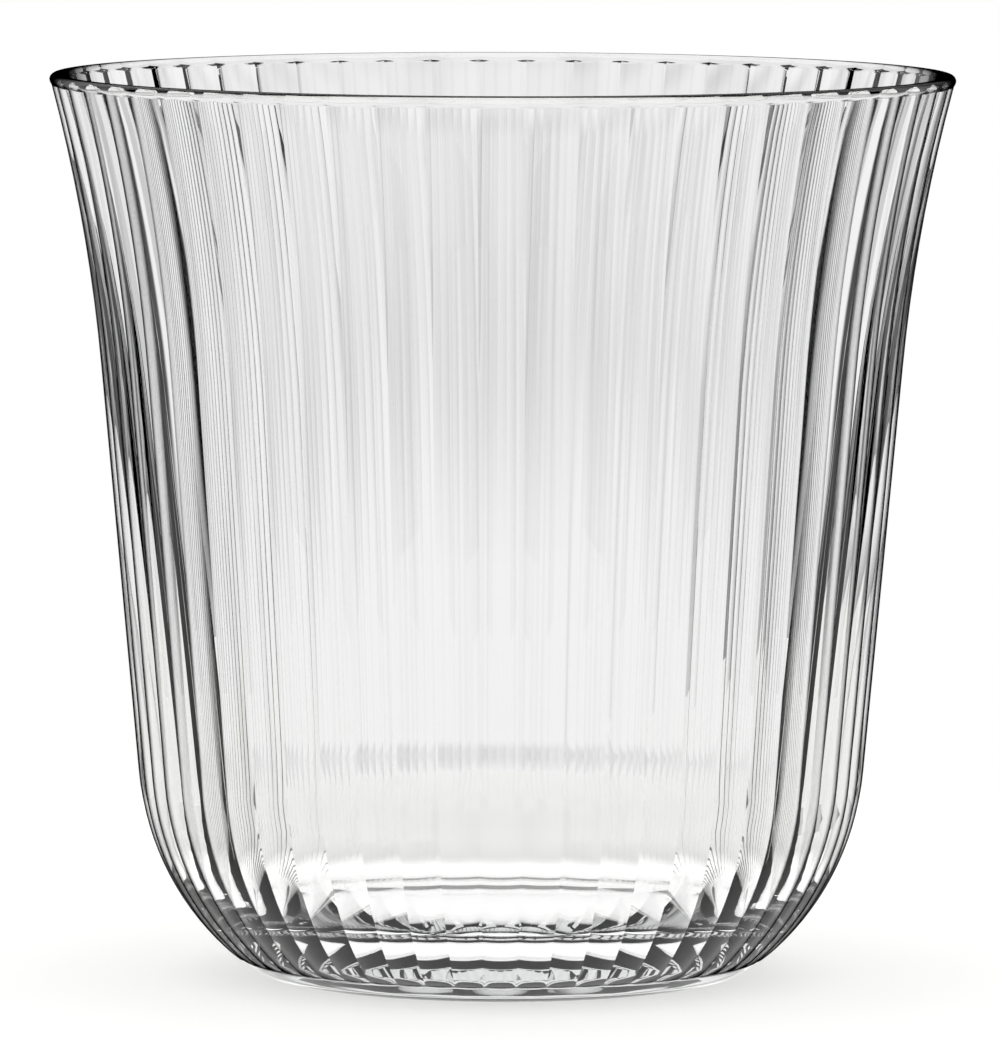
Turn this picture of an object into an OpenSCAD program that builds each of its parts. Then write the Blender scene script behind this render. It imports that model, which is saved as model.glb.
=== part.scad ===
// Chai glass: one piece of clear pressed glass, with fifty-six convex reeds down the outside.
// The origin is the centre of the foot, on the table. +Z runs up the axis of the glass.

/* [Glass] */
// Overall height, from the table to the top of the lip
height = 90; // [80:0.5:105]
// Diameter across the lip
rim_d = 90; // [80:0.5:100]
// How far the lip flares out past the straight wall, on each side
flare_out = 5.1; // [3:0.1:7]
// Height above the table where the flare begins
waist_z = 61; // [52:0.5:70]
// How far the straight wall would taper in from there down to the table, on each side
taper_in = 5.6; // [3:0.1:8]

/* [Heel and foot] */
// Radius of the heel that rounds the wall into the foot
heel_blend = 27.3; // [24:0.1:32]
// How far the heel turns in from the taper where it would reach the table, on each side
heel_in = 10.35; // [8:0.05:13]
// Radius of the round at the edge of the foot
foot_round = 5; // [3:0.1:6]
// Height of the smooth band between that round and the ends of the reeds
foot_band = 0.7; // [0.4:0.1:1.5]
// Width of the flat ring that the glass stands on
foot_ring_w = 2.8; // [1.5:0.1:5]
// Rise of the hollow under the foot at its middle
punt_rise = 0.9; // [0.4:0.1:2]

/* [Wall] */
// Thickness of the wall at the lip, over the reeds
rim_wall = 1.6; // [1.4:0.1:2.2]
// Thickness of the wall where the flare begins, over the reeds
waist_wall = 2.2; // [1.8:0.1:3]
// Thickness that the tapered wall would have at the table, over the reeds
base_wall = 3.3; // [2.4:0.1:4.5]
// Thickness of the floor above the table
floor_t = 6; // [4:0.1:9]
// Radius that rounds the inside of the wall into the floor
floor_blend = 13; // [8:0.5:18]
// Radius of the outside of the lip
lip_round = 1; // [0.8:0.1:1.3]
// Radius of the inside of the lip
lip_inner_round = 0.6; // [0.3:0.1:0.7]
// How far the lip stands proud of the reeds
lip_proud = 0.1; // [0.05:0.01:0.2]

/* [Reeds] */
// Number of reeds round the glass
reed_count = 56; // [40:1:64]
// Depth of the valleys between the reeds at the lip
reed_depth = 0.48; // [0.35:0.01:0.65]

/* [Hidden] */

// Facets of the turned shapes, of the wide arc of the flare, and of one reed
turn_fn = 224;
flare_fn = 720;
reed_fn = 96;

// How far a shape runs past the one that trims it, and past the one that it blends into
overrun = 1;
blend_lap = 0.004;
// Depths behind the crests, as shares of the valley depth at the lip: solid core, and back of a reed
core_share = 1.6;
reed_back_share = 2.75;
// How far apart along the wall the bends of neighbouring reeds start
reed_stagger = 0.05;
// How far the smooth foot lies behind the crests, as a share of the valley depth there
foot_relief_share = 2;
// How far the smooth foot runs up inside the reeds, as a share of its band
foot_lap_share = 0.15;
// How far the flared end of a reed runs on past the lip, as a share of its turn
flare_run_share = 1.1;

rim_r = rim_d / 2;
waist_r = rim_r - flare_out;
base_r = waist_r - taper_in;
heel_foot_r = base_r - heel_in;

// The round lip starts here, where the reeds end
lip_z = height - lip_round;
crest_rim_r = rim_r - lip_proud;

// Outward direction across a wall that leans out by an angle
function across(lean) = [cos(lean), -sin(lean)];

// Upward direction along the same wall
function along(lean) = [sin(lean), cos(lean)];

// Radius of the arc that leaves a leaning wall at one point and passes through another
function flare_radius(start, lean, end) =
    (pow((end - start) * along(lean), 2) + pow((end - start) * across(lean), 2))
    / (2 * (end - start) * across(lean));

// Outside of the wall, through the crests of the reeds
taper = atan2(taper_in, waist_z);
waist = [waist_r, waist_z];
flare_blend = flare_radius(waist, taper, [crest_rim_r, lip_z]);
flare_turn = 2 * atan2([crest_rim_r - waist_r, lip_z - waist_z] * across(taper),
    [crest_rim_r - waist_r, lip_z - waist_z] * along(taper));

// The heel is tangent to the tapered wall and would reach the table at the foot radius
heel_run = sqrt(2 * heel_in * heel_blend * cos(taper) - pow(heel_in * cos(taper), 2))
    - heel_in * sin(taper);
heel_top = [base_r, 0] + heel_run * along(taper);
heel_c = heel_top - heel_blend * across(taper);
heel_turn = asin(heel_c[1] / heel_blend) - taper;

// A reed is round, and as deep as asked where two neighbours meet at the lip
reed_step = 360 / reed_count;
reed_half_w = (rim_r - reed_depth) * sin(reed_step / 2);
reed_sag = rim_r - (rim_r - reed_depth) * cos(reed_step / 2);
reed_r = (pow(reed_half_w, 2) + pow(reed_sag, 2)) / (2 * reed_sag);
reed_back = reed_depth * reed_back_share;
core_in = reed_depth * core_share;

// Depth below the crests where two neighbours meet, on a wall of a given radius
function valley_depth(radius) = radius - (radius - reed_r) * cos(reed_step / 2)
    - sqrt(pow(reed_r, 2) - pow((radius - reed_r) * sin(reed_step / 2), 2));

// The foot round is tangent to the smooth heel and to the table
foot_heel = heel_blend - foot_relief_share * valley_depth(heel_foot_r);
foot_gap = foot_heel - foot_round + blend_lap;
foot_c_z = foot_round - blend_lap;
foot_c = [heel_c[0] + sqrt(pow(foot_gap, 2) - pow(heel_c[1] - foot_c_z, 2)), foot_c_z];
foot_r = foot_c[0];
foot_tangent = heel_c + (foot_c - heel_c) * foot_heel / foot_gap;
reed_end_z = foot_tangent[1] + foot_band;
foot_lap = foot_band * foot_lap_share;
punt_r = foot_r - foot_ring_w;
punt_ball = (pow(punt_r, 2) + pow(punt_rise, 2)) / (2 * punt_rise);

// Inside of the wall
bore_base_r = base_r - base_wall;
bore_waist = [waist_r - waist_wall, waist_z];
bore_rim = [rim_r - rim_wall, lip_z];
bore_taper = atan2(bore_waist[0] - bore_base_r, waist_z);
bore_flare_blend = flare_radius(bore_waist, bore_taper, bore_rim);
floor_c_z = floor_t + floor_blend;
floor_c = [bore_base_r + floor_c_z * tan(bore_taper) - floor_blend / cos(bore_taper), floor_c_z];

// The round inside the lip is tangent to the flared bore and to the top of the lip
lip_in_gap = bore_flare_blend - lip_inner_round + 2 * blend_lap;
lip_in_z = height - lip_inner_round + blend_lap;
bore_flare_c = bore_waist + bore_flare_blend * across(bore_taper);
lip_in_c = [bore_flare_c[0] - sqrt(pow(lip_in_gap, 2) - pow(lip_in_z - bore_flare_c[1], 2)), lip_in_z];
lip_in_tangent = bore_flare_c + (lip_in_c - bore_flare_c) * bore_flare_blend / lip_in_gap;

// Half outline of a tumbler: rounded bottom, straight taper, and a flare on one arc
module half_outline(bottom_c, bottom_r, flare_start, flare_r, lean, top_z) {
    flare_c = flare_start + flare_r * across(lean);
    top_r = flare_c[0] - sqrt(pow(flare_r, 2) - pow(top_z - flare_c[1], 2));
    difference() {
        polygon([
            [0, bottom_c[1]],
            bottom_c + bottom_r * across(lean),
            flare_start,
            [top_r, top_z],
            [0, top_z]
        ]);
        translate(flare_c) circle(r = flare_r + blend_lap, $fn = flare_fn);
    }
    intersection() {
        translate(bottom_c) circle(r = bottom_r + blend_lap, $fn = turn_fn);
        translate([0, bottom_c[1] - bottom_r]) square([bottom_c[0] + bottom_r + overrun, bottom_r]);
    }
    translate([0, bottom_c[1] - bottom_r]) square([bottom_c[0], bottom_r]);
}

// Section of a reed: the crest is at the origin, and only the front of the round is kept
module reed_section() {
    intersection() {
        translate([-reed_r, 0]) circle(r = reed_r, $fn = reed_fn);
        translate([-reed_back, -reed_r]) square([reed_back + overrun, 2 * reed_r]);
    }
}

// One whole reed, bent round the heel, straight up the taper and bent out with the flare
module reed(stagger) {
    straight = norm(waist - heel_top);
    bend = heel_top + stagger * along(taper);
    translate([bend[0], 0, bend[1]])
        rotate([0, taper, 0]) {
            translate([-heel_blend, 0, 0])
                rotate([90, 0, 0])
                    rotate_extrude(start = -heel_turn, angle = heel_turn, $fn = turn_fn)
                        translate([heel_blend, 0]) reed_section();
            linear_extrude(height = straight) reed_section();
            translate([flare_blend, 0, straight])
                rotate([90, 0, 180])
                    rotate_extrude(angle = flare_turn * flare_run_share, $fn = flare_fn)
                        translate([flare_blend, 0]) mirror([1, 0]) reed_section();
        }
}

// The ring of reeds: neighbours run into each other, which leaves sharp valleys between them
module reeds() {
    for (i = [0 : reed_count - 1])
        rotate([0, 0, i * reed_step])
            reed(reed_stagger * (i == reed_count - 1 ? 2 : i % 2));
}

// Solid behind the reeds
module core() {
    rotate_extrude($fn = turn_fn)
        half_outline(heel_c, heel_blend - core_in, waist - core_in * across(taper),
            flare_blend + core_in, taper, height);
}

// The reeded wall, cut off level at the lip and above the foot
module reeded_wall() {
    intersection() {
        union() {
            reeds();
            core();
        }
        translate([0, 0, reed_end_z])
            cylinder(r = rim_r + overrun, h = lip_z - reed_end_z, $fn = turn_fn);
    }
}

// Smooth foot below the reeds, with its round edge
module foot() {
    foot_top = reed_end_z + foot_lap;
    rotate_extrude($fn = turn_fn)
        intersection() {
            translate(heel_c) circle(r = foot_heel, $fn = turn_fn);
            square([base_r, foot_top]);
            union() {
                translate(foot_c) circle(r = foot_round, $fn = turn_fn);
                polygon([
                    [0, 0],
                    [foot_c[0], 0],
                    foot_c,
                    foot_c + 2 * (foot_tangent - foot_c),
                    [base_r + foot_round, foot_top],
                    [0, foot_top]
                ]);
            }
        }
}

// Round lip, a little prouder than the reeds, so that they die out under it in arches
module lip() {
    rotate_extrude($fn = turn_fn) {
        translate([rim_r - lip_round, lip_z]) circle(r = lip_round, $fn = reed_fn);
        translate([waist_r, lip_z]) square([rim_r - lip_round - waist_r, lip_round]);
    }
}

// Hollow of the glass, with the round inside of the lip
module bore() {
    rotate_extrude($fn = turn_fn) {
        half_outline(floor_c, floor_blend, bore_waist, bore_flare_blend, bore_taper, height + overrun);
        difference() {
            translate([0, lip_in_tangent[1]])
                square([lip_in_c[0], height + overrun - lip_in_tangent[1]]);
            translate(lip_in_c) circle(r = lip_inner_round, $fn = reed_fn);
        }
    }
}

// Shallow hollow under the foot
module punt() {
    translate([0, 0, punt_rise - punt_ball]) sphere(r = punt_ball, $fn = turn_fn);
}

// The whole glass
module glass_body() {
    color([0.86, 0.92, 0.91, 0.4])
        difference() {
            union() {
                reeded_wall();
                foot();
                lip();
            }
            bore();
            punt();
        }
}

glass_body();
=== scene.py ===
import math

import bpy
from mathutils import Matrix, Vector


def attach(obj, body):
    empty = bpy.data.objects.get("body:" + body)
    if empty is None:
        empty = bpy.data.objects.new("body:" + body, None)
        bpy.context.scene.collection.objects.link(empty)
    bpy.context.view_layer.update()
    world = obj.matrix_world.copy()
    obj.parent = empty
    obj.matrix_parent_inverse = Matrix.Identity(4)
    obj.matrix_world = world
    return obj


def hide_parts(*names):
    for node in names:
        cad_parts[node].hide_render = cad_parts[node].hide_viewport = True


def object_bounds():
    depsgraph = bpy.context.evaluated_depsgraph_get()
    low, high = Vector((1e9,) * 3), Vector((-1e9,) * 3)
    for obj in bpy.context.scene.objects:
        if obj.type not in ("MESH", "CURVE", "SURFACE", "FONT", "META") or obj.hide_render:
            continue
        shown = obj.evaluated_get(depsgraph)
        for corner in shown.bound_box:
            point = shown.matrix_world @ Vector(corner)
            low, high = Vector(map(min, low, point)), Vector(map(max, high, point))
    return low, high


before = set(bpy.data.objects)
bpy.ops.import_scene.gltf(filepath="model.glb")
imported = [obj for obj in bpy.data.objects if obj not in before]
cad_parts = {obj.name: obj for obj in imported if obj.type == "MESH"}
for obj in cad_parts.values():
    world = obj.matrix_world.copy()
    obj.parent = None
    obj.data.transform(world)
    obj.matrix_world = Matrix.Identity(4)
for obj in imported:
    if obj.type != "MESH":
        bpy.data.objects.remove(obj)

bl_info = {
    "name": "Chai glass",
    "version": (1, 0, 0),
    "blender": (4, 5, 0),
    "location": "View3D > Sidebar > Chai glass",
    "description": "A reeded tea tumbler of pressed clear glass, and a plain studio round it",
    "category": "Object",
}

MM = 0.001

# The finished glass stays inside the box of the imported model, with this to spare at the lip
CAD_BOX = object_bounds()
BOX_CLEARANCE = 0.002 * MM
GLASS_HEIGHT = CAD_BOX[1][2] - CAD_BOX[0][2]
RIM_RADIUS = (CAD_BOX[1][0] - CAD_BOX[0][0]) / 2 - BOX_CLEARANCE

# Rows of faces on each part of the half section, from under the foot, over the lip, to the floor
ROWS = {
    "hollow": 6, "ring": 1, "foot round": 7, "foot band": 2, "reed start": 4, "heel": 16,
    "taper": 2, "flare": 9, "under lip": 14, "lip": 7, "inner lip": 7, "inner flare": 8,
    "inner taper": 2, "floor blend": 12, "floor": 3,
}
# The rows close up from here to the lip, in radii of the lip below its centre
CLOSE_BELOW_LIP = 1.25
# The lip has covered the valleys in this many rows below its centre, so they aren't sharp there
COVERED_ROWS = 8
# Passes that find how deep a point of a reed lies, each from the depth that the last one found
DEPTH_PASSES = 2
# Noise that makes the waves inside: its fixed seed, and how much finer noise rides on it
WAVE_SEED = 7
WAVE_DETAIL = 1.0

# Shares of a gap's width, from its middle: it is dark up to the first and light past the second
GAP_DARK, GAP_LIGHT = 0.35, 0.65
# Angles, in radians, over which a flag gives way to the wall, and the wall to the ceiling
FLAG_SOFTNESS, CEILING_SOFTNESS = 0.02, 0.1
# The ceiling changes between these distances to the side, where 1 is straight to the side
CEILING_MIDDLE, CEILING_EDGE = 0.05, 0.4
# The floor board lies this far under the foot, so that the two never share a plane
FLOOR_GAP = 0.05 * MM
# Height of the camera's sensor, in millimetres
SENSOR_HEIGHT = 36

# Kinds of node that are used most
MATH, RANGE, MIX = "ShaderNodeMath", "ShaderNodeMapRange", "ShaderNodeMix"


# Sizes, finishes and studio: what a user would change

def length(name, default, description):
    """A size in metres, shown in the scene's own units."""
    return bpy.props.FloatProperty(
        name=name, description=description, default=default, min=0,
        subtype="DISTANCE", unit="LENGTH", precision=5)


def angle(name, degrees, description):
    """An angle, shown in degrees."""
    return bpy.props.FloatProperty(
        name=name, description=description, default=math.radians(degrees),
        subtype="ANGLE", unit="ROTATION")


def share(name, default, description):
    """A plain number from nought up."""
    return bpy.props.FloatProperty(name=name, description=description, default=default, min=0)


def colour(name, default, description):
    """A linear colour from an sRGB hex value."""
    return bpy.props.FloatVectorProperty(
        name=name, description=description, default=linear(default),
        min=0, max=1, size=3, subtype="COLOR")


def linear(hex_value):
    """An sRGB hex value, such as 0xF4F6F5, as linear red, green and blue."""
    parts = [(hex_value >> shift & 0xFF) / 255 for shift in (16, 8, 0)]
    return tuple(p / 12.92 if p <= 0.04045 else ((p + 0.055) / 1.055) ** 2.4 for p in parts)


class ChaiGlassSizes(bpy.types.PropertyGroup):
    """Outline of the glass, through the crests of its reeds"""
    height: length("Height", GLASS_HEIGHT, "From the table to the top of the lip")
    rim_radius: length("Lip radius", RIM_RADIUS, "Outside of the lip")
    waist_radius: length("Waist radius", 39.9 * MM, "Over the reeds where the flare begins")
    waist_height: length("Waist height", 61 * MM, "Where the flare begins")
    base_radius: length(
        "Base radius", 34.3 * MM, "Where the straight taper would reach the table")
    heel_blend: length("Heel", 27.3 * MM, "Radius that rounds the wall into the foot")
    heel_foot_radius: length(
        "Heel at the table", 23.95 * MM, "Where the heel would reach the table")
    foot_round: length("Foot round", 5 * MM, "Radius at the edge of the foot")
    foot_band: length("Foot band", 0.7 * MM, "Smooth band under the ends of the reeds")
    foot_relief: length(
        "Foot relief", 0.255 * MM, "How far the smooth foot lies behind the crests")
    foot_ring: length("Foot ring", 2.8 * MM, "Width of the flat ring that the glass stands on")
    punt_rise: length("Punt rise", 0.9 * MM, "Hollow under the foot")
    rim_wall: length("Wall at the lip", 1.6 * MM, "Thickness over the reeds")
    waist_wall: length("Wall at the waist", 2.2 * MM, "Thickness over the reeds")
    base_wall: length("Wall at the table", 3.3 * MM, "Thickness that the taper would have there")
    floor: length("Floor", 6 * MM, "Thickness of the floor above the table")
    floor_blend: length("Floor blend", 13 * MM, "Radius that rounds the wall into the floor")
    lip_round: length("Lip round", 0.6 * MM, "Radius of the outside of the lip")
    lip_inner_round: length("Lip inner round", 0.6 * MM, "Radius of the inside of the lip")
    lip_proud: length("Lip proud", 0.03 * MM, "How far the lip stands proud of the reeds")


class ChaiReedSizes(bpy.types.PropertyGroup):
    """The reeds pressed into the outside of the wall, and the waves left on its inside"""
    count: bpy.props.IntProperty(
        name="Reeds", description="Number of reeds round the glass", default=56, min=8)
    facets: bpy.props.IntProperty(
        name="Facets", description="Facets across one reed", default=20, min=4)
    inner_share: bpy.props.IntProperty(
        name="Inner share", description="Facets outside for each facet inside", default=2, min=1)
    depth: length("Depth", 0.48 * MM, "Depth of the valleys at the lip")
    fade: length("Fade", 0.5 * MM, "Height over which a reed rises from the smooth foot")
    lip_fillet: length(
        "Lip fillet", 0.06 * MM, "Softness of the line where the reeds meet the lip")
    wave: length("Wave", 0.03 * MM, "Height of the faint waves that the plunger leaves inside")
    wave_length: length("Wave length", 10 * MM, "Size of those waves")


class ChaiGlassFinish(bpy.types.PropertyGroup):
    """Colour and clearness of the glass"""
    clear: colour("Clear", 0xFFFFFF, "Colour of the surface, which takes no light away")
    ior: bpy.props.FloatProperty(
        name="IOR", description="Refraction of soda-lime glass", default=1.52, min=1)
    roughness: bpy.props.FloatProperty(
        name="Roughness", description="Fire polish", default=0.0, min=0, max=1, subtype="FACTOR")
    tint: colour("Tint", 0xB9BFBE, "Colour that deep glass takes")
    density: bpy.props.FloatProperty(
        name="Density", description="Absorption for each metre of glass", default=4, min=0)
    shadow: colour("Shadow", 0xFBFCFC, "Light that the glass lets through to the table")
    # The outline is a painted reflection of dark studio flags: black mixed into the glass at a
    # glancing angle
    edge: colour("Edge", 0x000000, "Colour of the outline at a glancing angle")
    flag_reflection_start: share("Edge start", 0.6, "Share of a glancing angle at which the outline begins")
    flag_reflection_end: share("Edge end", 0.86, "Share at which it is darkest")
    flag_reflection_dark: share("Edge dark", 1, "How dark it is there")


class ChaiStudio(bpy.types.PropertyGroup):
    """Floor, light and camera"""
    floor_colour: colour("Floor", 0xF4F4F2, "Pale matt floor")
    floor_size: length("Floor size", 0.32, "Side of the floor board")
    floor_lift: share("Floor lift", 0.24, "White that the lens adds to the floor")
    # A painted pool of light: the floor glows under the glass where the foot would gather light
    pool_glow: share(
        "Under the glass", 0.6, "Light that the foot gathers on the floor beneath it")
    under_radius: length("Under radius", 30 * MM, "How far from the axis it begins to fade")
    light: colour("Light", 0xFFFFFF, "Colour of the studio's light")
    panel_angle: angle("Panel", 45, "From one white wall panel to the next, seen from the glass")
    gap_width: angle("Gap", 12, "Dark gap between two panels")
    wall_grey: share("Wall grey", 0.905, "Light from a wall panel, as the glass shows it")
    gap_grey: share("Gap grey", 0, "Light from a gap")
    backdrop_angle: angle("Backdrop", 34, "Half width of the backdrop, which has no gaps")
    left_reach: angle("Left reach", 10, "How much further the backdrop reaches to the left")
    flag_width: angle("Flag", 11, "Grey flag on either side of the backdrop")
    flag_grey: share("Flag grey", 0.65, "Light from a flag")
    shade_start: angle(
        "Shade start", 12, "Where the backdrop's right side begins to fall off")
    shade_grey: share("Shade grey", 0.15, "Light from the backdrop's right edge")
    left_start: angle(
        "Left shade start", 20, "Where the backdrop's left side begins to fall off")
    left_grey: share("Left shade grey", 0.9, "Light from the backdrop's left edge")
    horizon: angle(
        "Horizon", -5.4, "Height of the soft grey band between the backdrop's foot and its top")
    horizon_soft: angle("Horizon softness", 1.2, "How far that band reaches up and down")
    horizon_dim: share("Horizon dimming", 0.18, "Share of the light that is missing there")
    upper_dim: share("Upper dimming", 0.07, "Share that is missing above the band")
    dim_turn: angle("Dimming turn", 12, "How far to both sides the dimming goes on changing")
    dim_left: share("Dimming on the left", 0.6, "How much of the dimming shows on the left")
    dim_right: share("Dimming on the right", 1.25, "How much of it shows on the right")
    ceiling_angle: angle("Ceiling", 55, "Height at which the walls end")
    ceiling_grey: share(
        "Ceiling grey", 0.8, "Light from above, in front of the glass and behind it")
    ceiling_side: share("Ceiling side", 0, "Light from above, on both sides of the glass")
    camera_distance: length("Camera distance", 1.1, "From the axis of the glass")
    camera_height: length("Camera height", 144.5 * MM, "Above the table")
    aim_height: length("Aim height", 44.72 * MM, "Height that the camera looks at")
    aim_side: bpy.props.FloatProperty(
        name="Aim side", description="How far beside the axis it looks", default=-0.16 * MM,
        subtype="DISTANCE", unit="LENGTH", precision=5)
    focal_length: bpy.props.FloatProperty(
        name="Focal length", description="Long lens, in millimetres", default=378.2, min=1)
    roll: bpy.props.FloatProperty(
        name="Roll", description="Lean of the camera", default=math.radians(0.152),
        subtype="ANGLE", unit="ROTATION")


# Helpers that every part of the script shares

def add_node(tree, kind, inputs=(), **settings):
    """A node with its settings, and with its inputs set, or linked to sockets.

    The inputs come in order, or by name or number. A node stands for its first output."""
    node = tree.nodes.new(kind)
    for name, value in settings.items():
        setattr(node, name, value)
    for name, value in inputs.items() if isinstance(inputs, dict) else enumerate(inputs):
        if isinstance(value, bpy.types.Node):
            value = value.outputs[0]
        if isinstance(value, bpy.types.NodeSocket):
            tree.links.new(value, node.inputs[name])
        else:
            node.inputs[name].default_value = value
    return node


def make_material(name):
    """An empty node material and its tree."""
    material = bpy.data.materials.new(name)
    material.use_nodes = True
    material.node_tree.nodes.clear()
    return material, material.node_tree


def put_in_scene(name, mesh):
    """An object at the origin that shows a mesh."""
    piece = bpy.data.objects.new(name, mesh)
    bpy.context.scene.collection.objects.link(piece)
    return piece


# Outline of the glass

def across(lean):
    """Outward direction across a wall that leans out by an angle."""
    return Vector((math.cos(lean), -math.sin(lean)))


def along(lean):
    """Upward direction along the same wall."""
    return Vector((math.sin(lean), math.cos(lean)))


def flare_radius(start, lean, end):
    """Radius of the arc that leaves a leaning wall at start and passes through end."""
    step = end - start
    return step.length_squared / (2 * step.dot(across(lean)))


def arc(centre, radius, start, stop, steps):
    """Points on a circle from one angle to another, both ends included."""
    angles = [start + (stop - start) * i / steps for i in range(steps + 1)]
    return [centre + radius * Vector((math.cos(a), math.sin(a))) for a in angles]


def line(start, stop, steps):
    """Points on a straight line, without its first point and with its last."""
    return [start.lerp(stop, (i + 1) / steps) for i in range(steps)]


def angle_of(point, centre):
    """Direction of a point as seen from a centre."""
    return math.atan2(point.y - centre.y, point.x - centre.x)


class Outline:
    """Half section of the glass, in metres: x is the distance from the axis, y the height."""

    def __init__(self, sizes, reeds):
        self.sizes, self.reeds = sizes, reeds
        self.lip_height = sizes.height - sizes.lip_round
        self.lip_centre = Vector((sizes.rim_radius - sizes.lip_round, self.lip_height))
        self.waist = Vector((sizes.waist_radius, sizes.waist_height))
        self.taper = math.atan2(sizes.waist_radius - sizes.base_radius, sizes.waist_height)
        crest_end = Vector((sizes.rim_radius - sizes.lip_proud, self.lip_height))
        self.flare = flare_radius(self.waist, self.taper, crest_end)
        self.flare_centre = self.waist + self.flare * across(self.taper)
        inset = sizes.base_radius - sizes.heel_foot_radius
        slant = inset * math.cos(self.taper)
        run = math.sqrt(2 * slant * sizes.heel_blend - slant ** 2) - inset * math.sin(self.taper)
        self.heel_top = Vector((sizes.base_radius, 0)) + run * along(self.taper)
        self.heel_centre = self.heel_top - sizes.heel_blend * across(self.taper)
        self.foot_heel = sizes.heel_blend - sizes.foot_relief
        gap = self.foot_heel - sizes.foot_round
        drop = self.heel_centre.y - sizes.foot_round
        foot_x = self.heel_centre.x + math.sqrt(gap ** 2 - drop ** 2)
        self.foot_centre = Vector((foot_x, sizes.foot_round))
        to_foot = self.foot_centre - self.heel_centre
        self.foot_tangent = self.heel_centre + to_foot * self.foot_heel / gap
        self.reed_end = self.foot_tangent.y + sizes.foot_band
        self.punt_radius = self.foot_centre.x - sizes.foot_ring

    def reed_radius(self):
        """Radius of a reed's round, which gives the depth asked for at the lip."""
        half_step = math.pi / self.reeds.count
        valley = self.sizes.rim_radius - self.reeds.depth
        half_width = valley * math.sin(half_step)
        sag = self.sizes.rim_radius - valley * math.cos(half_step)
        return (half_width ** 2 + sag ** 2) / (2 * sag)

    def on_heel(self, height, radius):
        """Point at a height on a circle round the heel's centre."""
        drop = self.heel_centre.y - height
        return Vector((self.heel_centre.x + math.sqrt(radius ** 2 - drop ** 2), height))

    def on_flare(self, low, high, rows):
        """Points on the flared crest line, evenly up from one height to another."""
        points = []
        for i in range(1, rows + 1):
            height = low + (high - low) * i / rows
            rise = height - self.flare_centre.y
            inward = math.sqrt(self.flare ** 2 - rise ** 2)
            points.append(Vector((self.flare_centre.x - inward, height)))
        return points

    def under_foot(self):
        """From the middle of the hollow under the foot to the edge of the ring."""
        rise, edge = self.sizes.punt_rise, self.punt_radius
        ball = (edge ** 2 + rise ** 2) / (2 * rise)
        centre = Vector((0, rise - ball))
        end = angle_of(Vector((edge, 0)), centre)
        dome = arc(centre, ball, math.pi / 2, end, ROWS["hollow"])
        return dome[1:] + line(Vector((edge, 0)), Vector((self.foot_centre.x, 0)), ROWS["ring"])

    def foot_edge(self):
        """Round edge of the foot, and the smooth band above it."""
        round_end = angle_of(self.foot_tangent, self.foot_centre)
        edge = arc(self.foot_centre, self.sizes.foot_round, -math.pi / 2, round_end,
                   ROWS["foot round"])
        top = self.on_heel(self.reed_end, self.foot_heel)
        band = arc(self.heel_centre, self.foot_heel, angle_of(self.foot_tangent, self.heel_centre),
                   angle_of(top, self.heel_centre), ROWS["foot band"])
        return edge[1:] + band[1:]

    def reeded_wall(self):
        """Crest line of the reeds, from the foot up to the height of the lip's centre."""
        sizes = self.sizes
        start = angle_of(self.on_heel(self.reed_end, sizes.heel_blend), self.heel_centre)
        near = start + self.reeds.fade / sizes.heel_blend
        heel = arc(self.heel_centre, sizes.heel_blend, start, near, ROWS["reed start"])
        heel += arc(self.heel_centre, sizes.heel_blend, near, -self.taper, ROWS["heel"])[1:]
        straight = line(self.heel_top, self.waist, ROWS["taper"])
        under_lip = self.lip_height - CLOSE_BELOW_LIP * sizes.lip_round
        flare = self.on_flare(sizes.waist_height, under_lip, ROWS["flare"])
        close = self.on_flare(under_lip, self.lip_height, ROWS["under lip"])
        return heel + straight + flare + close

    def over_lip(self):
        """Outer quarter of the lip, up to its top."""
        return arc(self.lip_centre, self.sizes.lip_round, 0, math.pi / 2, ROWS["lip"])[1:]

    def bore(self):
        """From the top of the lip down the inside and to the middle of the floor."""
        sizes = self.sizes
        waist = self.waist - Vector((sizes.waist_wall, 0))
        base = sizes.base_radius - sizes.base_wall
        taper = math.atan2(waist.x - base, sizes.waist_height)
        rim = Vector((sizes.rim_radius - sizes.rim_wall, self.lip_height))
        flare = flare_radius(waist, taper, rim)
        flare_centre = waist + flare * across(taper)
        inner_y = sizes.height - sizes.lip_inner_round
        reach = math.sqrt((flare - sizes.lip_inner_round) ** 2 - (inner_y - flare_centre.y) ** 2)
        inner = Vector((flare_centre.x - reach, inner_y))
        turn = angle_of(inner, flare_centre) % (2 * math.pi)
        lip = arc(inner, sizes.lip_inner_round, math.pi / 2, turn, ROWS["inner lip"])
        flare_end = angle_of(waist, flare_centre) % (2 * math.pi)
        bore = arc(flare_centre, flare, turn, flare_end, ROWS["inner flare"])[1:]
        floor_y = sizes.floor + sizes.floor_blend
        floor_x = base + floor_y * math.tan(taper) - sizes.floor_blend / math.cos(taper)
        floor_centre = Vector((floor_x, floor_y))
        floor_top = floor_centre + sizes.floor_blend * across(taper)
        bore += line(waist, floor_top, ROWS["inner taper"])
        bore += arc(floor_centre, sizes.floor_blend, -taper, -math.pi / 2, ROWS["floor blend"])[1:]
        return lip + bore + line(bore[-1], Vector((0, sizes.floor)), ROWS["floor"])[:-1]


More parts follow.
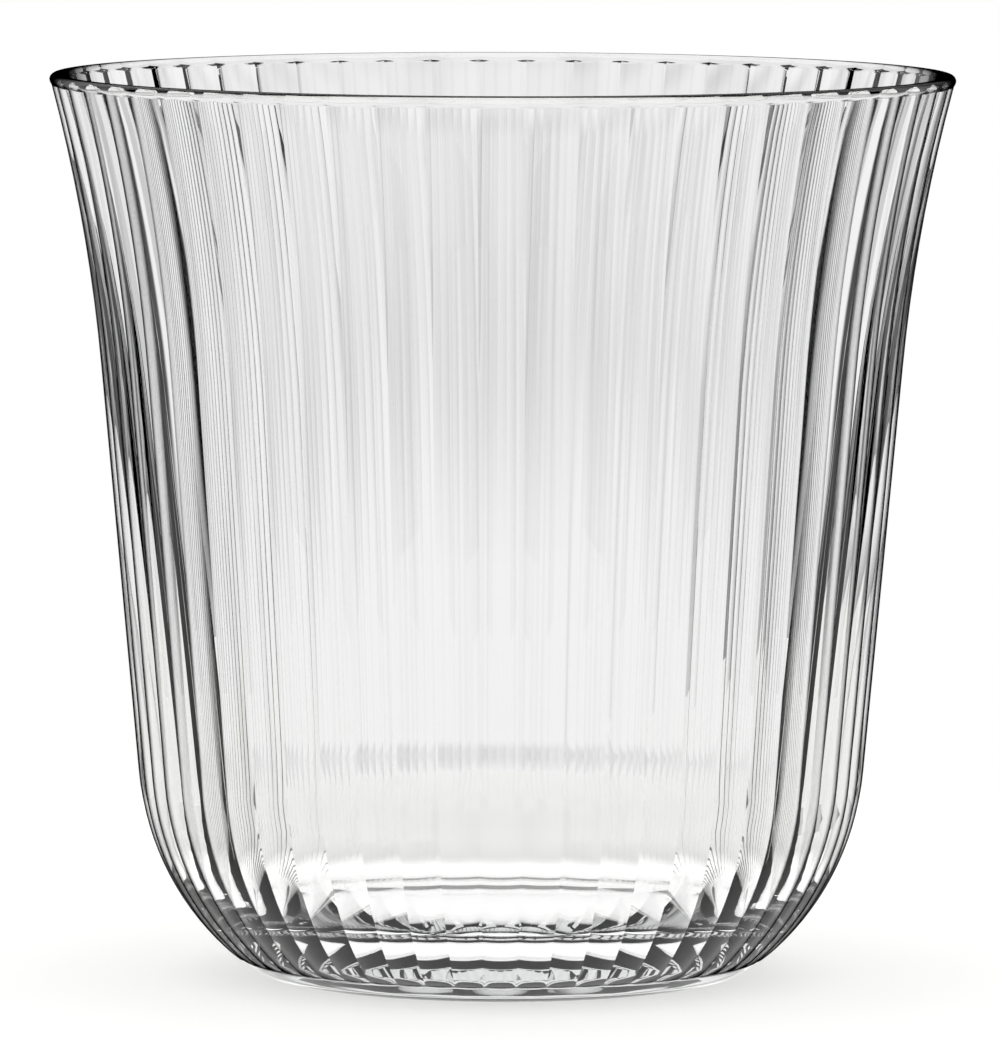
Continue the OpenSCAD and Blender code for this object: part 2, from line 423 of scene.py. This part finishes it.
def turned_blank(outline):
    """Mesh of the glass turned without reeds. Its attributes say where they are pressed in."""
    sizes, reeds = outline.sizes, outline.reeds
    wall, lip, bore = outline.reeded_wall(), outline.over_lip(), outline.bore()
    smooth = outline.under_foot() + outline.foot_edge()
    outer = smooth + wall + lip
    columns = reeds.count * reeds.facets
    turns = [2 * math.pi * (k / columns - 0.5 / reeds.count) for k in range(columns)]
    inner_turns = turns[::reeds.inner_share]
    rings = [(point, turns) for point in outer] + [(point, inner_turns) for point in bore]
    verts, starts = [(0, 0, sizes.punt_rise)], []
    for point, ring_turns in rings:
        starts.append(len(verts))
        verts += [(point.x * math.cos(t), point.x * math.sin(t), point.y) for t in ring_turns]
    verts.append((0, 0, sizes.floor))
    last = len(verts) - 1

    around, inner_around = len(turns), len(inner_turns)
    faces = [(0, 1 + (k + 1) % around, 1 + k) for k in range(around)]
    for row in range(len(rings) - 1):
        low, high = starts[row], starts[row + 1]
        low_count, high_count = len(rings[row][1]), len(rings[row + 1][1])
        ratio = low_count // high_count
        for k in range(high_count):
            after = (k + 1) % high_count
            bottom = [low + (k * ratio + j) % low_count for j in range(ratio + 1)]
            faces.append((*bottom, high + after, high + k))
    top = starts[-1]
    faces += [(top + k, top + (k + 1) % inner_around, last) for k in range(inner_around)]
    mesh = bpy.data.meshes.new("turned glass blank")
    mesh.from_pydata(verts, [], faces)

    marks = {"press": [0.0], "wave": [0.0], "outline": [0.0], "lean_out": [0.0], "lean_up": [0.0]}
    for row, (point, ring_turns) in enumerate(rings):
        pressed = len(smooth) <= row < len(smooth) + len(wall)
        normal = across(outline.taper)
        if pressed and point.y < outline.heel_top.y:
            normal = (point - outline.heel_centre).normalized()
        elif pressed and point.y > sizes.waist_height:
            normal = (outline.flare_centre - point).normalized()
        inside = row >= len(outer) and point.y < outline.lip_height
        # Rows of the walls that get the painted reflection of dark flags at a glancing angle
        upright = row >= len(smooth) and (row < len(outer) or point.y > outline.heel_top.y)
        values = float(pressed), float(inside), float(upright), normal.x, normal.y
        for name, value in zip(marks, values):
            marks[name] += [value] * len(ring_turns)
    for name, values in marks.items():
        layer = mesh.attributes.new(name, "FLOAT", "POINT")
        layer.data.foreach_set("value", values + [0.0])
    mesh.polygons.foreach_set("use_smooth", [True] * len(faces))
    mesh.update()

    # Two reeds meet in a sharp valley, up the first column of each reed
    first, covered = len(smooth) + 1, len(smooth) + len(wall) - COVERED_ROWS
    valley = {(low + k, high + k)
              for low, high in zip(starts[first:], starts[first + 1:covered])
              for k in range(0, around, reeds.facets)}
    sharp = mesh.attributes.new("sharp_edge", "BOOLEAN", "EDGE")
    in_valley = [tuple(sorted(edge.vertices)) in valley for edge in mesh.edges]
    sharp.data.foreach_set("value", in_valley)
    return mesh


# Reeds, pressed in by rule

def reed_press_tree():
    """Geometry Nodes that press round reeds into a turned blank and end them under the lip."""
    tree = bpy.data.node_groups.new("Press reeds", "GeometryNodeTree")
    face = tree.interface
    face.new_socket("Geometry", in_out="INPUT", socket_type="NodeSocketGeometry")
    for name in ("Reeds", "Seed"):
        face.new_socket(name, in_out="INPUT", socket_type="NodeSocketInt")
    for name in ("Reed radius", "Reed end", "Fade", "Foot relief", "Lip centre", "Lip height",
                 "Lip round", "Lip fillet", "Wave", "Wave length"):
        face.new_socket(name, in_out="INPUT", socket_type="NodeSocketFloat")
    face.new_socket("Glass", in_out="INPUT", socket_type="NodeSocketMaterial")
    face.new_socket("Geometry", in_out="OUTPUT", socket_type="NodeSocketGeometry")
    given = add_node(tree, "NodeGroupInput").outputs
    press, inside, lean_out, lean_up = [
        add_node(tree, "GeometryNodeInputNamedAttribute", {"Name": name}, data_type="FLOAT")
        for name in ("press", "wave", "lean_out", "lean_up")]

    # Where a point lies: its distance from the axis, and its turn off the nearest crest
    place = add_node(tree, "GeometryNodeInputPosition")
    x, y, z = add_node(tree, "ShaderNodeSeparateXYZ", [place]).outputs
    x_square = add_node(tree, MATH, [x, x], operation="MULTIPLY")
    y_square = add_node(tree, MATH, [y, y], operation="MULTIPLY")
    square = add_node(tree, MATH, [x_square, y_square], operation="ADD")
    radius = add_node(tree, MATH, [square], operation="SQRT")
    turn = add_node(tree, MATH, [y, x], operation="ARCTAN2")
    step = add_node(tree, MATH, [2 * math.pi, given["Reeds"]], operation="DIVIDE")
    steps = add_node(tree, MATH, [turn, step], operation="DIVIDE")
    reed = add_node(tree, MATH, [steps], operation="ROUND")
    crest = add_node(tree, MATH, [reed, step], operation="MULTIPLY")
    off_crest = add_node(tree, MATH, [turn, crest], operation="SUBTRACT")

    # Depth below the crest, on a round of the reed's radius, at that distance beside the crest
    reed_radius = given["Reed radius"]
    reed_square = add_node(tree, MATH, [reed_radius, reed_radius], operation="MULTIPLY")
    slope = add_node(tree, MATH, [off_crest], operation="TANGENT")
    depth = 0.0
    for _ in range(DEPTH_PASSES):
        back = add_node(tree, MATH, [depth, lean_out], operation="MULTIPLY")
        reach = add_node(tree, MATH, [radius, back], operation="SUBTRACT")
        beside = add_node(tree, MATH, [reach, slope], operation="MULTIPLY")
        beside_square = add_node(tree, MATH, [beside, beside], operation="MULTIPLY")
        behind_square = add_node(tree, MATH, [reed_square, beside_square], operation="SUBTRACT")
        behind = add_node(tree, MATH, [behind_square], operation="SQRT")
        depth = add_node(tree, MATH, [reed_radius, behind], operation="SUBTRACT")

    # The blank is round, so beside the crest its surface already lies this far back
    cosine = add_node(tree, MATH, [off_crest], operation="COSINE")
    secant = add_node(tree, MATH, [1.0, cosine], operation="DIVIDE")
    excess = add_node(tree, MATH, [secant, 1.0], operation="SUBTRACT")
    bulge = add_node(tree, MATH, [radius, excess], operation="MULTIPLY")
    bulge = add_node(tree, MATH, [bulge, lean_out], operation="MULTIPLY")
    depth = add_node(tree, MATH, [depth, bulge], operation="SUBTRACT")

    # At its lower end a reed rises from the smooth foot in a short round
    above = add_node(tree, MATH, [z, given["Reed end"]], operation="SUBTRACT")
    risen = add_node(tree, MATH, [above, given["Fade"]], operation="DIVIDE")
    risen = add_node(tree, RANGE, {"Value": risen}, interpolation_type="SMOOTHSTEP")
    depth = add_node(tree, MIX, {0: risen, 2: given["Foot relief"], 3: depth})
    depth = add_node(tree, MATH, [depth, press], operation="MULTIPLY")
    inward = add_node(tree, MATH, [depth, lean_out], operation="MULTIPLY")
    downward = add_node(tree, MATH, [depth, lean_up], operation="MULTIPLY")
    radius = add_node(tree, MATH, [radius, inward], operation="SUBTRACT")
    height = add_node(tree, MATH, [z, downward], operation="SUBTRACT")

    # The round lip stands over the reeds, which leaves an arch at the top of each
    lip_round = given["Lip round"]
    lip_square = add_node(tree, MATH, [lip_round, lip_round], operation="MULTIPLY")
    under = add_node(tree, MATH, [given["Lip height"], z], operation="SUBTRACT")
    under_square = add_node(tree, MATH, [under, under], operation="MULTIPLY")
    chord = add_node(tree, MATH, [lip_square, under_square], operation="SUBTRACT")
    lip_reach = add_node(tree, MATH, [chord, 0.0], operation="MAXIMUM")
    lip_reach = add_node(tree, MATH, [lip_reach], operation="SQRT")
    lip_radius = add_node(tree, MATH, [given["Lip centre"], lip_reach], operation="ADD")
    over = add_node(tree, MATH, [radius, lip_radius, given["Lip fillet"]], operation="SMOOTH_MAX")
    in_lip = add_node(tree, MATH, [chord, 0.0], operation="GREATER_THAN")
    in_lip = add_node(tree, MATH, [in_lip, press], operation="MULTIPLY")
    radius = add_node(tree, MIX, {0: in_lip, 2: radius, 3: over})

    # The plunger leaves faint waves inside. Noise runs from 0 to 1, so it is centred and doubled
    seeded = add_node(tree, "ShaderNodeVectorMath", [place, given["Seed"]], operation="ADD")
    scale = add_node(tree, MATH, [1.0, given["Wave length"]], operation="DIVIDE")
    noise = add_node(tree, "ShaderNodeTexNoise",
                     {"Vector": seeded, "Scale": scale, "Detail": WAVE_DETAIL})
    centred = add_node(tree, MATH, [noise, 0.5], operation="SUBTRACT")
    wave = add_node(tree, MATH, [centred, given["Wave"]], operation="MULTIPLY")
    wave = add_node(tree, MATH, [wave, 2.0], operation="MULTIPLY")
    wave = add_node(tree, MATH, [wave, inside], operation="MULTIPLY")
    radius = add_node(tree, MATH, [radius, wave], operation="ADD")

    cosine = add_node(tree, MATH, [turn], operation="COSINE")
    sine = add_node(tree, MATH, [turn], operation="SINE")
    new_x = add_node(tree, MATH, [radius, cosine], operation="MULTIPLY")
    new_y = add_node(tree, MATH, [radius, sine], operation="MULTIPLY")
    moved = add_node(tree, "ShaderNodeCombineXYZ", [new_x, new_y, height])
    pressed = add_node(tree, "GeometryNodeSetPosition",
                       {"Geometry": given["Geometry"], "Position": moved})
    real = add_node(tree, "GeometryNodeRealizeInstances", {"Geometry": pressed})
    clad = add_node(tree, "GeometryNodeSetMaterial",
                    {"Geometry": real, "Material": given["Glass"]})
    add_node(tree, "NodeGroupOutput", [clad])
    return tree


def apply_tree(piece, tree, values):
    """Runs a tree on a piece with these inputs and returns the result as a plain mesh."""
    modifier = piece.modifiers.new(tree.name, "NODES")
    modifier.node_group = tree
    for socket in tree.interface.items_tree:
        if socket.in_out == "INPUT" and socket.name in values:
            modifier[socket.identifier] = values[socket.name]
    evaluated = piece.evaluated_get(bpy.context.evaluated_depsgraph_get())
    mesh = bpy.data.meshes.new_from_object(evaluated)
    piece.modifiers.remove(modifier)
    return mesh


# Finishes

def pressed_glass(finish):
    """Soda-lime glass, pressed and fire polished: clear, glossy, and greyer where it is deep.

    On upright walls black is painted in at a glancing angle: a painted reflection of the dark
    studio flags, which gives clear glass its outline."""
    material, tree = make_material("pressed soda-lime glass")
    # Painted reflection: black mixed in at a glancing angle stands for dark studio flags seen in
    # the glass
    facing = add_node(tree, "ShaderNodeLayerWeight").outputs["Facing"]
    dark = add_node(tree, RANGE, {
        "Value": facing, "From Min": finish.flag_reflection_start, "From Max": finish.flag_reflection_end,
        "To Min": 0.0, "To Max": finish.flag_reflection_dark}, interpolation_type="SMOOTHSTEP")
    upright = add_node(tree, "ShaderNodeAttribute", attribute_name="outline").outputs["Fac"]
    dark = add_node(tree, MATH, [dark, upright], operation="MULTIPLY")
    glass = add_node(tree, "ShaderNodeBsdfPrincipled", {
        "Base Color": (*finish.clear, 1), "Roughness": finish.roughness, "IOR": finish.ior,
        "Transmission Weight": 1.0})
    edge = add_node(tree, "ShaderNodeBsdfDiffuse", {"Color": (*finish.edge, 1)})
    body = add_node(tree, "ShaderNodeMixShader", [dark, glass, edge])

    # Light reaches the floor through the glass, so the shadow there is pale
    through = add_node(tree, "ShaderNodeBsdfTransparent", {"Color": (*finish.shadow, 1)})
    path = add_node(tree, "ShaderNodeLightPath").outputs
    surface = add_node(tree, "ShaderNodeMixShader", [path["Is Shadow Ray"], body, through])
    depth = add_node(tree, "ShaderNodeVolumeAbsorption", {
        "Color": (*finish.tint, 1), "Density": finish.density})
    add_node(tree, "ShaderNodeOutputMaterial", {"Surface": surface, "Volume": depth})
    return material


def studio_floor(studio):
    """Painted board: matt and pale. The lens adds a little white, which runs it into the backdrop.

    From below it is clear, so that the underside of the glass can be looked at."""
    material, tree = make_material("painted floor board")
    paint = add_node(tree, "ShaderNodeBsdfDiffuse", {"Color": (*studio.floor_colour, 1)})
    path = add_node(tree, "ShaderNodeLightPath").outputs
    in_glass = add_node(tree, MATH, [path["Is Transmission Ray"], path["Is Glossy Ray"]],
                        operation="MAXIMUM")
    # Painted pool of light: only as the glass shows it, the floor glows round the axis, where the
    # foot would gather light
    place = add_node(tree, "ShaderNodeTexCoord").outputs["Object"]
    away = add_node(tree, "ShaderNodeVectorMath", [place], operation="LENGTH").outputs["Value"]
    painted_light_pool = add_node(tree, RANGE, {
        "Value": away, "From Min": studio.under_radius, "From Max": 2 * studio.under_radius,
        "To Min": studio.pool_glow, "To Max": 0.0}, interpolation_type="SMOOTHSTEP")
    to_lens = add_node(tree, MATH, [path["Is Camera Ray"], studio.floor_lift],
                       operation="MULTIPLY")
    to_glass = add_node(tree, MATH, [in_glass, painted_light_pool], operation="MULTIPLY")
    lift = add_node(tree, MATH, [to_lens, to_glass], operation="ADD")
    glow = add_node(tree, "ShaderNodeEmission", {"Strength": lift})
    both = add_node(tree, "ShaderNodeAddShader", [paint, glow])
    below = add_node(tree, "ShaderNodeNewGeometry").outputs["Backfacing"]
    clear = add_node(tree, "ShaderNodeBsdfTransparent")
    board = add_node(tree, "ShaderNodeMixShader", [below, both, clear])
    add_node(tree, "ShaderNodeOutputMaterial", {"Surface": board})
    return material


def studio_world(studio):
    """White walls round the glass, with dark gaps, grey flags beside the backdrop and a ceiling."""
    world = bpy.data.worlds.new("white studio")
    world.use_nodes = True
    tree = world.node_tree
    tree.nodes.clear()

    # Where a ray goes: its turn off the backdrop's middle, and its height
    way = add_node(tree, "ShaderNodeTexCoord").outputs["Generated"]
    x, y, z = add_node(tree, "ShaderNodeSeparateXYZ", [way]).outputs
    height = add_node(tree, MATH, [z], operation="ARCSINE")
    beside = add_node(tree, MATH, [x], operation="ABSOLUTE")
    turn = add_node(tree, MATH, [x, y], operation="ARCTAN2")
    to_left = add_node(tree, MATH, [turn, -1.0], operation="MULTIPLY")
    aside = add_node(tree, MATH, [turn], operation="ABSOLUTE")
    in_panel = add_node(tree, MATH, [aside, studio.panel_angle], operation="FLOORED_MODULO")
    off_gap = add_node(tree, MATH, [in_panel, studio.panel_angle / 2], operation="SUBTRACT")
    off_gap = add_node(tree, MATH, [off_gap], operation="ABSOLUTE")

    # How far it passes the edge of the backdrop, which reaches further to the left
    on_left = add_node(tree, MATH, [turn, 0.0], operation="LESS_THAN")
    further = add_node(tree, MATH, [on_left, studio.left_reach], operation="MULTIPLY")
    edge = add_node(tree, MATH, [further, studio.backdrop_angle], operation="ADD")
    past = add_node(tree, MATH, [aside, edge], operation="SUBTRACT")
    on_backdrop = add_node(tree, MATH, [past, 0.0], operation="LESS_THAN")
    off_backdrop = add_node(tree, MATH, [past, 0.0], operation="GREATER_THAN")

    # Every soft change of light in the room: from where to where, and from which light to which
    fades = {}
    for name, value, start, end, from_light, to_light in (
            ("panel", off_gap, GAP_DARK * studio.gap_width, GAP_LIGHT * studio.gap_width,
             studio.gap_grey, 1.0),
            ("flag", past, studio.flag_width, studio.flag_width + FLAG_SOFTNESS,
             studio.flag_grey, 1.0),
            ("right", turn, studio.shade_start, studio.backdrop_angle, 1.0, studio.shade_grey),
            ("left", to_left, studio.left_start, studio.backdrop_angle + studio.left_reach,
             1.0, studio.left_grey),
            ("below band", height, studio.horizon - studio.horizon_soft, studio.horizon,
             0.0, studio.horizon_dim),
            ("above band", height, studio.horizon, studio.horizon + studio.horizon_soft,
             0.0, studio.horizon_dim - studio.upper_dim),
            ("band", turn, -studio.dim_turn, studio.dim_turn, studio.dim_left, studio.dim_right),
            ("ceiling", beside, CEILING_MIDDLE, CEILING_EDGE,
             studio.ceiling_grey, studio.ceiling_side),
            ("walls end", height, studio.ceiling_angle, studio.ceiling_angle + CEILING_SOFTNESS,
             0.0, 1.0)):
        fades[name] = add_node(tree, RANGE, {
            "Value": value, "From Min": start, "From Max": end, "To Min": from_light,
            "To Max": to_light}, interpolation_type="SMOOTHSTEP")

    walls = add_node(tree, MATH, [fades["panel"], fades["flag"]], operation="MULTIPLY")
    walls = add_node(tree, MATH, [walls, on_backdrop], operation="MAXIMUM")
    dim = add_node(tree, MATH, [fades["below band"], fades["above band"]], operation="SUBTRACT")
    dim = add_node(tree, MATH, [dim, fades["band"]], operation="MULTIPLY")
    level = add_node(tree, MATH, [1.0, dim], operation="SUBTRACT")
    shade = add_node(tree, MATH, [fades["left"], fades["right"]], operation="MULTIPLY")
    shade = add_node(tree, MATH, [shade, level], operation="MULTIPLY")
    shade = add_node(tree, MATH, [shade, off_backdrop], operation="MAXIMUM")
    wall = add_node(tree, MATH, [walls, shade], operation="MULTIPLY")
    wall = add_node(tree, MATH, [wall, studio.wall_grey], operation="MULTIPLY")
    room = add_node(tree, MIX, {0: fades["walls end"], 2: wall, 3: fades["ceiling"]})

    # The room is seen in and through the glass. The lens and the floor get plain white.
    path = add_node(tree, "ShaderNodeLightPath").outputs
    in_glass = add_node(tree, MATH, [path["Is Transmission Ray"], path["Is Glossy Ray"]],
                        operation="MAXIMUM")
    strength = add_node(tree, MIX, {0: in_glass, 2: 1.0, 3: room})
    back = add_node(tree, "ShaderNodeBackground",
                    {"Color": (*studio.light, 1), "Strength": strength})
    add_node(tree, "ShaderNodeOutputWorld", {"Surface": back})
    return world


# Operators and panel

class CHAI_OT_glass(bpy.types.Operator):
    """Turn the glass, press its reeds in and give it its finish"""
    bl_idname = "chai.glass"
    bl_label = "Make the glass"

    def execute(self, context):
        sizes, reeds = context.scene.chai_sizes, context.scene.chai_reeds
        outline = Outline(sizes, reeds)
        blank = put_in_scene("glass_blank", turned_blank(outline))
        glass = pressed_glass(context.scene.chai_finish)
        mesh = apply_tree(blank, reed_press_tree(), {
            "Reeds": reeds.count, "Reed radius": outline.reed_radius(),
            "Reed end": outline.reed_end, "Fade": reeds.fade, "Foot relief": sizes.foot_relief,
            "Lip centre": outline.lip_centre.x, "Lip height": outline.lip_height,
            "Lip round": sizes.lip_round, "Lip fillet": reeds.lip_fillet, "Wave": reeds.wave,
            "Wave length": reeds.wave_length, "Seed": WAVE_SEED, "Glass": glass})
        bpy.data.objects.remove(blank)
        if not mesh.polygons:
            raise RuntimeError("the reeds were not pressed")
        mesh.name = "reeded_glass"
        piece = put_in_scene("reeded_glass", mesh)
        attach(piece, "root")
        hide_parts("glass_body")
        return {"FINISHED"}


class CHAI_OT_studio(bpy.types.Operator):
    """Lay the floor, light the studio and set up the camera"""
    bl_idname = "chai.studio"
    bl_label = "Set up the studio"

    def execute(self, context):
        studio = context.scene.chai_studio
        half, low = studio.floor_size / 2, CAD_BOX[0][2] - FLOOR_GAP
        corners = [(-half, -half, low), (half, -half, low), (half, half, low), (-half, half, low)]
        mesh = bpy.data.meshes.new("studio floor")
        mesh.from_pydata(corners, [], [(0, 1, 2, 3)])
        mesh.materials.append(studio_floor(studio))
        put_in_scene("studio_floor", mesh)
        context.scene.world = studio_world(studio)
        lens = bpy.data.cameras.new("studio camera")
        lens.sensor_fit = "VERTICAL"
        lens.sensor_height = SENSOR_HEIGHT
        lens.lens = studio.focal_length
        camera = put_in_scene("studio_camera", lens)
        eye = Vector((studio.aim_side, -studio.camera_distance, studio.camera_height))
        aim = Vector((studio.aim_side, 0, studio.aim_height))
        turn = (aim - eye).to_track_quat("-Z", "Y").to_matrix().to_4x4()
        roll = Matrix.Rotation(studio.roll, 4, "Z")
        camera.matrix_world = Matrix.Translation(eye) @ turn @ roll
        context.scene.camera = camera
        context.scene.view_settings.view_transform = "Standard"
        return {"FINISHED"}


class CHAI_PT_panel(bpy.types.Panel):
    """The glass and its studio"""
    bl_idname = "CHAI_PT_panel"
    bl_label = "Chai glass"
    bl_space_type = "VIEW_3D"
    bl_region_type = "UI"
    bl_category = "Chai glass"

    def draw(self, context):
        for title, group in (("Outline", "chai_sizes"), ("Reeds", "chai_reeds"),
                             ("Finish", "chai_finish"), ("Studio", "chai_studio")):
            box = self.layout.box()
            box.label(text=title)
            values = getattr(context.scene, group)
            for name in values.__annotations__:
                box.prop(values, name)
        self.layout.operator(CHAI_OT_glass.bl_idname)
        self.layout.operator(CHAI_OT_studio.bl_idname)


GROUPS = {"chai_sizes": ChaiGlassSizes, "chai_reeds": ChaiReedSizes,
          "chai_finish": ChaiGlassFinish, "chai_studio": ChaiStudio}
CLASSES = (*GROUPS.values(), CHAI_OT_glass, CHAI_OT_studio, CHAI_PT_panel)


def register():
    for cls in CLASSES:
        bpy.utils.register_class(cls)
    for name, group in GROUPS.items():
        setattr(bpy.types.Scene, name, bpy.props.PointerProperty(type=group))


def unregister():
    for name in GROUPS:
        delattr(bpy.types.Scene, name)
    for cls in reversed(CLASSES):
        bpy.utils.unregister_class(cls)


def main():
    """Makes the glass and its studio."""
    register()
    bpy.ops.chai.glass()
    bpy.ops.chai.studio()


if __name__ == "__main__":
    main()
